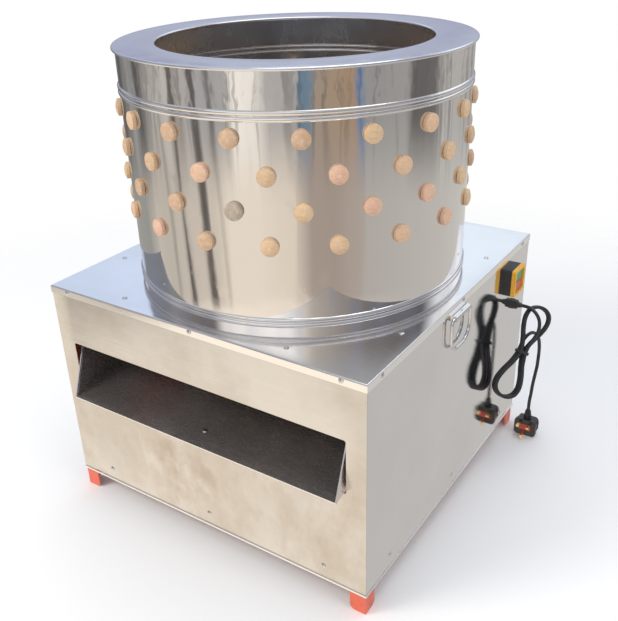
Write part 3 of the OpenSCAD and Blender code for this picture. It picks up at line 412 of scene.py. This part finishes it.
def satin_sheet(name, colour, stain, grain, roughness):
    sheet = Finish(name, colour, metallic=1)
    blotches = sheet.noise(5, 5, 0.6)
    sheet.colour(sheet.mix(sheet.spread(blotches, 0.42, 0.72), colour, stain))
    lines = sheet.noise(60, 3, 0.6, stretch=grain)
    sheet.rough(sheet.spread(lines, 0.3, 0.75, *roughness))
    sheet.bump(lines, 0.04, 0.001)
    sheet.bump(sheet.noise(3, 1, 0.4), 0.1, 0.006)
    return sheet


side_sheet = satin_sheet("satin_side_sheet", (0.78, 0.78, 0.78), (0.74, 0.73, 0.73), (1, 0.15, 12),
                         (0.025, 0.06))
side_sheet.on("right_panel", "left_panel")
deck_sheet = satin_sheet("bright_deck_sheet", (0.78, 0.77, 0.77), (0.71, 0.70, 0.69), (0.3, 8, 1),
                         (0.09, 0.17))
upright = deck_sheet.maths("LESS_THAN", deck_sheet.maths("ABSOLUTE", deck_sheet.facing()["Z"]), MOSTLY)
deck_sheet.colour(deck_sheet.mix(upright, deck_sheet.colour_so_far(), FLANGE))
deck_sheet.on("top_panel")
# The hems are the panels' steel in a paler colour: a painted highlight along the fold.
satin_sheet("hem_sheet_painted_highlight", (0.92, 0.91, 0.89), (0.86, 0.85, 0.83), (1, 1, 1), (0.12, 0.2)).on(hems)
print("side panels, deck and hems are satin sheet")

# %% [markdown]
# ## Soil on the front
# What comes down the chute runs over the front panel and dries there. Two masks are laid over the satin
# sheet: runs that begin at the opening's height, and a smudged patch below it, which fades with distance
# from its middle. The back panel shares the finish, so the runs are kept to the front half.

# %% Front and back panels
SOIL = (0.53, 0.47, 0.41)
SOILED_AT = (-0.05, -0.32, 0.15)
SMUDGED, UNSMUDGED = 0.05, 0.2
RUNS_FROM_Z, RUNS_FULL_Z = 0.33, 0.25
FRONT_Y, CLEAN_Y = -0.1, 0


def soil_mask(sheet):
    maths, at = sheet.maths, sheet.axes(sheet.place)
    runs = sheet.noise(11, 6, 0.62, stretch=(1, 1, 0.55), shift=(0.35, 0, 0.1))
    runs = maths("MULTIPLY", sheet.spread(runs, 0.46, 0.7, 0, 0.75),
                 sheet.spread(at["Z"], RUNS_FROM_Z, RUNS_FULL_Z))
    runs = maths("MULTIPLY", runs, sheet.spread(at["Y"], FRONT_Y, CLEAN_Y, 1, 0))
    smudges = sheet.noise(13, 5, 0.6, stretch=(1, 1, 0.8), shift=(2, 0, 1))
    smudges = maths("MULTIPLY", sheet.spread(smudges, 0.4, 0.6, 0.15, 0.95),
                    sheet.spread(sheet.distance(sheet.place, SOILED_AT), SMUDGED, UNSMUDGED, 1, 0))
    return maths("MAXIMUM", runs, smudges)


front_sheet = satin_sheet("satin_front_sheet", (0.74, 0.73, 0.71), (0.60, 0.57, 0.53), (0.15, 1, 12),
                          (0.14, 0.26))
front_sheet.colour(front_sheet.mix(soil_mask(front_sheet), front_sheet.colour_so_far(), SOIL))
front_sheet.on("front_panel", "back_panel")
print("front finish", front_sheet.material.name)

# %% [markdown]
# ## Chute
# The inside of the chute gets a darker, mottled colour: painted shade of the enclosed chute, over the
# sheet's water stains. Its hems, edges and outer faces keep a pale steel colour, a little paler than the
# panels, which paints a highlight along the hems. Which way a face points tells the two apart: the floor
# faces up, a cheek faces inwards and the back wall forwards. The hem stands a little in from its cheek, so
# its own inner face stays bright.

# %% Chute and turntable sheet
CHEEK_HEM_X = 0.2882
PALE_CHUTE_HIGHLIGHT = (0.84, 0.83, 0.82)
CHUTE_METAL = 0.85


def chute_shade_mask(sheet):
    maths, at, facing = sheet.maths, sheet.axes(sheet.place), sheet.facing()
    inward = maths("LESS_THAN", maths("MULTIPLY", facing["X"], maths("SIGN", at["X"])), -MOSTLY)
    inward = maths("MULTIPLY", inward, maths("GREATER_THAN", maths("ABSOLUTE", at["X"]), CHEEK_HEM_X))
    rear = maths("MULTIPLY", maths("LESS_THAN", facing["Y"], -MOSTLY), maths("GREATER_THAN", at["Y"], 0))
    return maths("MAXIMUM", maths("MAXIMUM", inward, rear), maths("GREATER_THAN", facing["Z"], MOSTLY))


chute_sheet = satin_sheet("chute_sheet", (0.50, 0.46, 0.44), (0.40, 0.36, 0.33), (0.6, 2, 2), (0.2, 0.34))
chute_sheet.shader.inputs["Metallic"].default_value = CHUTE_METAL
# Inner faces take the darker sheet colour as painted shade; outer faces and hems take the paler steel, a
# painted highlight on the hems.
chute_sheet.colour(chute_sheet.mix(chute_shade_mask(chute_sheet), PALE_CHUTE_HIGHLIGHT, chute_sheet.colour_so_far()))
chute_sheet.on("feather_chute", "splash_sleeve")
turned_sheet = satin_sheet("turntable_sheet", (0.62, 0.60, 0.57), (0.48, 0.45, 0.41), (4, 4, 1),
                           (0.18, 0.32))
turned_sheet.on("turntable_plate")
print("chute and turntable are darker sheet")

# %% [markdown]
# ## Paint and castings
# The frame is angle steel in orange-red paint, worn in patches and thinly coated. Castings are grey-black
# with a grain from the sand mould, and the motor is painted blue. None of them is polished, so broad noise
# for the colour and fine noise for the relief are enough.

# %% Painted frame, castings and motor
FRESH_RED, WORN_RED = (0.84, 0.14, 0.07), (0.52, 0.09, 0.05)
CAST_DARK, CAST_PALE = (0.08, 0.085, 0.09), (0.15, 0.155, 0.16)
MOTOR_DARK, MOTOR_PALE = (0.08, 0.14, 0.22), (0.12, 0.18, 0.26)
frame_paint = Finish("orange_red_paint", FRESH_RED, 0.38, **{"Coat Weight": 0.2})
worn = frame_paint.spread(frame_paint.noise(45, 6, 0.65), 0.5, 0.72)
frame_paint.colour(frame_paint.mix(worn, FRESH_RED, WORN_RED))
frame_paint.bump(frame_paint.noise(220, 3), 0.12, 0.0006)
frame_paint.on("frame_legs", "top_rails", "frame_rails", "bearing_beams", "motor_rails", "motor_plate")
casting = Finish("grey_casting", CAST_DARK, 0.55, metallic=0.4)
casting.colour(casting.mix(casting.noise(60, 4), CAST_DARK, CAST_PALE))
casting.bump(casting.noise(400, 3), 0.25, 0.0006)
casting.on("upper_bearing", "lower_bearing", "turntable_hub", "driven_pulley", "motor_pulley")
motor_paint = Finish("motor_blue_paint", MOTOR_DARK, 0.4)
motor_paint.colour(motor_paint.mix(motor_paint.noise(25, 4), MOTOR_DARK, MOTOR_PALE))
motor_paint.bump(motor_paint.noise(350, 2), 0.15, 0.0005)
motor_paint.on("motor_flange", "motor_housing", "motor_fan_cover", "motor_terminal_box")
print("paint and castings done")

# %% [markdown]
# ## Rubber fingers
# The fingers are peach-tan rubber, no two quite alike: some are pinker, some yellower, and one has aged
# to grey. The wall is divided into cells by angle and height, one round each finger, and white noise
# gives every cell its own tone between 0 and 1. The aged one gets a whole 1 more. The turntable's
# fingers take their tone from broad patches of noise, and finer noise adds dust and faint rings.

# %% Tone of each finger
FINGERS_ROUND = 18
FINGER_TURN = math.radians(-4.7)
LOW_ROW_Z, ROW_PITCH = 0.5995, 0.0545
AGED_COLUMN, AGED_ROW = 29, 2


def wall_tone(rubber):
    maths, at = rubber.maths, rubber.axes(rubber.place)
    angle = maths("ARCTAN2", maths("SUBTRACT", at["Y"], axis_y), at["X"])
    column = maths("MULTIPLY", maths("SUBTRACT", angle, FINGER_TURN), FINGERS_ROUND / math.pi)
    column = maths("FLOORED_MODULO", maths("ROUND", column), 2 * FINGERS_ROUND)
    row = maths("ROUND", maths("DIVIDE", maths("SUBTRACT", at["Z"], LOW_ROW_Z - ROW_PITCH), ROW_PITCH))
    cell = rubber.node("ShaderNodeCombineXYZ", {"X": column, "Y": row}).outputs["Vector"]
    own = rubber.node("ShaderNodeTexWhiteNoise", {"Vector": cell}, noise_dimensions="2D").outputs["Value"]
    aged = maths("MULTIPLY", maths("COMPARE", column, AGED_COLUMN), maths("COMPARE", row, AGED_ROW))
    return maths("ADD", own, aged)


def turntable_tone(rubber):
    return rubber.spread(rubber.noise(13, 0), 0.35, 0.65, 0, 0.9)


print("tones for", 2 * FINGERS_ROUND, "columns of fingers")

# %% Rubber of the fingers
PINK, YELLOW, BROWN, AGED = (0.80, 0.50, 0.34), (0.77, 0.54, 0.31), (0.60, 0.39, 0.25), (0.42, 0.38, 0.31)
RINGS, DUST = (0.46, 0.28, 0.17), (0.84, 0.68, 0.52)


def finger_finish(name, tone_of):
    rubber = Finish(name, PINK, 0.42)
    own = tone_of(rubber)
    tone = rubber.mix(rubber.spread(own, 0.15, 0.5), PINK, YELLOW)
    tone = rubber.mix(rubber.spread(own, 0.55, 0.9, 0, 0.8), tone, BROWN)
    tone = rubber.mix(rubber.spread(own, 1.0, 1.001, 0, 0.85), tone, AGED)
    lines = rubber.spread(rubber.noise(70, 3, 0.6, stretch=(1, 1, 7)), 0.52, 0.7, 0, 0.35)
    tone = rubber.mix(lines, tone, RINGS)
    dust = rubber.spread(rubber.noise(160, 5, 0.6), 0.45, 0.75, 0, 0.5)
    rubber.colour(rubber.mix(dust, tone, DUST))
    rubber.bump(rubber.noise(260, 4, 0.6), 0.25, 0.0008)
    rubber.bump(lines, 0.3, 0.0006)
    return rubber


finger_finish("finger_rubber", wall_tone).on("wall_fingers_row_1", "wall_fingers_row_2", "wall_fingers_row_3",
                                             "wall_fingers_row_4")
finger_finish("turntable_finger_rubber", turntable_tone).on("turntable_fingers")
print("fingers done")

# %% [markdown]
# ## Plastic and rubber trim
# The switch, gland and plug are moulded plastic, and the belt and the cord are black rubber. All of them
# have one colour with paler, rubbed patches and a fine moulded grain, so one function makes each of them
# from its colour and its gloss.

# %% Switch, gland, plug, belt and cord
RUBBED_GAIN, RUBBED_LIFT = 1.25, 0.012


def moulded(name, colour, roughness, grain=700, relief=0.12):
    plastic = Finish(name, colour, roughness)
    pale = tuple(min(1, c * RUBBED_GAIN + RUBBED_LIFT) for c in colour)
    plastic.colour(plastic.mix(plastic.spread(plastic.noise(90, 4), 0.4, 0.75), colour, pale))
    plastic.bump(plastic.noise(grain, 2), relief, 0.0004)
    return plastic


moulded("black_switch_plastic", (0.018, 0.018, 0.02), 0.42).on("switch_base")
moulded("yellow_switch_plastic", (0.83, 0.42, 0.03), 0.32).on("switch_cover")
moulded("start_button_plastic", (0.08, 0.30, 0.12), 0.35).on("start_button")
moulded("stop_button_plastic", (0.55, 0.10, 0.07), 0.35).on("stop_button")
moulded("gland_nylon", (0.022, 0.022, 0.024), 0.45).on("gland_body", "gland_nut")
moulded("tie_coating", (0.03, 0.03, 0.032), 0.4).on("cord_tie")
moulded("plug_plastic", (0.016, 0.016, 0.017), 0.3).on("plug_body")
moulded("fuse_cover_plastic", (0.50, 0.05, 0.05), 0.35).on("plug_fuse_cover")
moulded("belt_rubber", (0.02, 0.02, 0.02), 0.65, grain=300, relief=0.3).on("drive_belt")
moulded("cord_rubber", (0.022, 0.022, 0.024), 0.48, grain=900, relief=0.2).on(cord)
print("plastic and rubber trim done")

# %% [markdown]
# ## Floor
# A pale disc lies under the machine to catch its shadow. Its edge fades out into the white behind, so no
# horizon shows. The steel doesn't mirror it: the yard of the next cells has a ground of its own for that.

# %% Floor disc
FLOOR_R = 1.9
FLOOR_SOLID = 0.8
FLOOR_SEGMENTS = 96
floor_mesh = bpy.data.meshes.new("floor")
shape = bmesh.new()
bmesh.ops.create_circle(shape, cap_ends=True, segments=FLOOR_SEGMENTS, radius=FLOOR_R)
shape.to_mesh(floor_mesh)
shape.free()
floor = put_in_scene("floor", floor_mesh)
floor.visible_glossy = False
floor_finish = Finish("pale_floor", (0.95, 0.945, 0.935), 0.7)
fade = floor_finish.ease(floor_finish.distance(floor_finish.place), FLOOR_SOLID, FLOOR_R, 1, 0)
floor_finish.feed(floor_finish.shader.inputs["Alpha"], fade)
floor_finish.on(floor)
print("floor radius", FLOOR_R, "m")

# %% [markdown]
# ## Yard for the steel to mirror
# Polished steel shows its surroundings more than itself, and a blank world would leave it grey. So the
# world is a banded yard that only reflections see. A direction is split into a bearing, counted from the
# camera's side, and a height between -1 and 1. A colour ramp then paints each band along its bearings.

# %% Bearings and heights
BACK_TO_CAMERA = math.atan2(eye.x, -eye.y)
FULL_TURN = 360
MOTTLE_DETAIL = 5
world = bpy.data.worlds.new("yard")
bpy.context.scene.world = world
world.use_nodes = True
yard = Wiring(world.node_tree)
direction = yard.node("ShaderNodeTexCoord").outputs["Generated"]
turned = yard.node("ShaderNodeMapping", {"Vector": direction, "Rotation": (0, 0, -BACK_TO_CAMERA)})
towards = yard.axes(turned.outputs["Vector"])
bearing = yard.maths("ARCTAN2", towards["X"], yard.maths("MULTIPLY", towards["Y"], -1))
share = yard.spread(bearing, -math.pi, math.pi)
height = towards["Z"]


def ramp(value, stops):
    made = yard.node("ShaderNodeValToRGB", {"Fac": value})
    points = made.color_ramp.elements
    while len(points) < len(stops):
        points.new(0.5)
    for point, (degrees, colour) in zip(points, stops):
        point.position = 0.5 + degrees / FULL_TURN
        point.color = (*colour, 1)
    return made.outputs["Color"]


def mottle(across, upright, low, high):
    at = yard.node("ShaderNodeCombineXYZ", {"X": yard.maths("MULTIPLY", share, across),
                                            "Y": yard.maths("MULTIPLY", height, upright)}).outputs["Vector"]
    noise = yard.node("ShaderNodeTexNoise", {"Vector": at, "Scale": 1, "Detail": MOTTLE_DETAIL})
    return yard.ease(noise.outputs["Fac"], low, high)


print("the camera's bearing is", round(math.degrees(BACK_TO_CAMERA), 1), "degrees")

# %% [markdown]
# ## Walls and posts of the yard
# The bands in the drum come from here: tan and grey walls with a bright gap and two blue strips, mottled
# so that they don't look printed, and dark posts that lean a little. The stops of a ramp are bearings in
# degrees, each with its colour.

# %% Walls and posts
GREY, DARK, PALE = (0.40, 0.39, 0.38), (0.11, 0.11, 0.11), (0.52, 0.49, 0.46)
JAMB, WALL_SHADOW = (0.44, 0.43, 0.43), (0.12, 0.115, 0.11)
POST, POST_LEAN = (0.15, 0.135, 0.125), 0.045
NONE, FULL, HALF = (0, 0, 0), (1, 1, 1), (0.45, 0.45, 0.45)
plain_walls = ramp(share, [
    (-180, GREY), (-150, DARK), (-128, GREY), (-118, DARK), (-108, PALE), (-104, PALE),
    (-92, (0.62, 0.59, 0.56)), (-78, PALE), (-67, (0.50, 0.49, 0.50)), (-58, JAMB),
    (-55, (0.20, 0.20, 0.20)), (-52, JAMB), (-46, (0.50, 0.49, 0.48)), (-40, (1.1, 1.05, 0.97)),
    (-27, (1.0, 0.95, 0.88)), (-18, (0.52, 0.50, 0.49)), (-3, (0.50, 0.48, 0.46)), (0, (0.17, 0.26, 0.36)),
    (7, (0.20, 0.28, 0.36)), (11, (0.42, 0.34, 0.27)), (34, (0.46, 0.32, 0.21)), (38, (0.15, 0.26, 0.46)),
    (43, (0.36, 0.36, 0.36)), (70, GREY), (78, (0.16, 0.15, 0.15)), (96, (0.18, 0.17, 0.17)),
    (104, (0.55, 0.54, 0.52)), (180, GREY)])
walls = yard.mix(mottle(110, 2.5, 0.5, 0.62), plain_walls, yard.mix(0.45, plain_walls, WALL_SHADOW))
leaning = yard.maths("ADD", share, yard.maths("MULTIPLY", height, POST_LEAN))
posts = ramp(leaning, [
    (-180, NONE), (-104, NONE), (-101, HALF), (-99, NONE), (-92, NONE), (-88.5, FULL), (-86.5, FULL),
    (-84, NONE), (-75, NONE), (-72.5, FULL), (-69, FULL), (-66.5, NONE), (-60, NONE), (-58.5, HALF),
    (-57, NONE), (180, NONE)])
print("walls and posts painted")

# %% [markdown]
# ## Ground of the yard
# The lower half of the drum and the front panel mirror the ground: sandy in front, stone to the right and
# darker behind the machine, with wet streaks in the nearest band. Each band passes softly into the next.

# %% Ground
SAND, STONE, MOSS = (0.96, 0.86, 0.74), (0.60, 0.58, 0.55), (0.37, 0.37, 0.35)
WET, DRY = (0.36, 0.35, 0.34), (0.92, 0.86, 0.79)
WALL_FOOT, NEAR_EDGE = (-0.34, -0.22), (-0.455, -0.435)
ground = ramp(share, [
    (-180, (0.55, 0.54, 0.52)), (-160, MOSS), (-124, MOSS), (-114, (0.66, 0.60, 0.53)),
    (-100, (0.62, 0.57, 0.50)), (-80, (0.70, 0.63, 0.55)), (-58, (0.74, 0.66, 0.57)), (-48, SAND),
    (-30, SAND), (-8, (0.88, 0.78, 0.66)), (6, (0.47, 0.39, 0.34)), (20, (0.44, 0.37, 0.32)),
    (36, (0.50, 0.43, 0.38)), (42, (0.53, 0.50, 0.47)), (95, STONE), (180, (0.7, 0.68, 0.65))])
near = ramp(share, [
    (-180, DRY), (-169, DRY), (-164, WET), (-157, WET), (-153, DRY), (-139, DRY), (-134, WET), (-130, DRY),
    (-110, (1.14, 1.02, 0.88)), (-10, (1.06, 0.94, 0.79)), (30, (0.75, 0.68, 0.60)), (80, STONE),
    (132, (0.62, 0.60, 0.58)), (138, WET), (145, WET), (148, DRY), (163, (0.75, 0.72, 0.69)), (167, WET),
    (171, DRY), (180, DRY)])
lower = yard.mix(yard.ease(height, *WALL_FOOT), ground, walls)
lower = yard.mix(posts, lower, POST)
lower = yard.mix(yard.ease(height, *NEAR_EDGE), near, lower)
print("ground painted")

# %% [markdown]
# ## Sky over the yard
# The deck and the rim mirror the sky: hazy blue low down, bright between dark roofs higher up, and an even
# grey overhead, which keeps level sheet from glaring in views from above. The camera itself sees plain
# white, because Light Path tells its rays from reflected ones.

# %% Sky
BRIGHT, SHADE = (1.02, 1.14, 1.26), (0.22, 0.20, 0.185)
CLEAR, SHADY = (0.80, 0.93, 1.15), (0.29, 0.31, 0.34)
HAZE, PALE_HAZE = (0.37, 0.38, 0.53), (0.60, 0.66, 0.76)
CLOUD, ZENITH, WHITE = (0.28, 0.34, 0.62), (0.60, 0.63, 0.68), (1, 1, 1)
SKYLINE, HAZE_TOP, ZENITH_EDGE = (-0.03, 0.04), (0.2, 0.36), (0.51, 0.63)
bright = ramp(share, [
    (-180, BRIGHT), (-170, CLEAR), (-153, CLEAR), (-145, SHADY), (-112, SHADY), (-103, (0.36, 0.36, 0.37)),
    (-75, SHADE), (-66, SHADE), (-58, (1.3, 1.27, 1.24)), (-34, (1.42, 1.40, 1.38)),
    (-9, (1.48, 1.46, 1.43)), (5, (0.70, 0.64, 0.57)), (24, (0.44, 0.40, 0.36)), (46, (0.24, 0.22, 0.20)),
    (92, (0.16, 0.16, 0.17)), (108, (1.26, 1.30, 1.34)), (140, (1.30, 1.34, 1.38)), (158, BRIGHT),
    (180, BRIGHT)])
low_sky = yard.mix(mottle(14, 9, 0.42, 0.66), HAZE, PALE_HAZE)
clouded = yard.mix(mottle(24, 10, 0.46, 0.64), bright, yard.mix(0.3, bright, CLOUD))
sky = yard.mix(yard.ease(height, *HAZE_TOP), low_sky, clouded)
sky = yard.mix(yard.ease(height, *ZENITH_EDGE), sky, ZENITH)
mirrored_yard = yard.mix(yard.ease(height, *SKYLINE), lower, sky)
camera_ray = yard.node("ShaderNodeLightPath").outputs["Is Camera Ray"]
yard.feed(yard.tree.nodes["Background"].inputs["Color"], yard.mix(camera_ray, mirrored_yard, WHITE))
print("world made of", len(yard.tree.nodes), "nodes")

# %% [markdown]
# ## Lights
# Three round softboxes light the machine as in a studio: a warm key from the front left, a broad one
# overhead and a weak one on the side with the switch. Large discs give soft shadows. Only the overhead
# one shows in the steel, where the others would leave white spots.

# %% Softboxes
MIDDLE = (0, 0, 0.4)
SIDE_MIDDLE = (0.2, 0, 0.4)


def softbox(name, place, target, size, power, colour=(1, 1, 1), mirrored=False):
    light = bpy.data.lights.new(name, "AREA")
    light.shape = "DISK"
    light.size = size
    light.energy = power
    light.color = colour
    lamp = put_in_scene(name, light)
    aim = Vector(target) - Vector(place)
    lamp.matrix_world = Matrix.Translation(place) @ aim.to_track_quat("-Z", "Y").to_matrix().to_4x4()
    lamp.visible_camera = False
    lamp.visible_glossy = mirrored


softbox("key", (-1.6, -2.4, 2.6), MIDDLE, size=1.6, power=62, colour=(1.0, 0.96, 0.9))
softbox("overhead", (0.3, 0.4, 3.2), MIDDLE, size=2.2, power=24, mirrored=True)
softbox("side", (2.6, -0.4, 1.8), SIDE_MIDDLE, size=1.4, power=15)
bpy.context.scene.view_settings.view_transform = "Standard"
print("three softboxes")
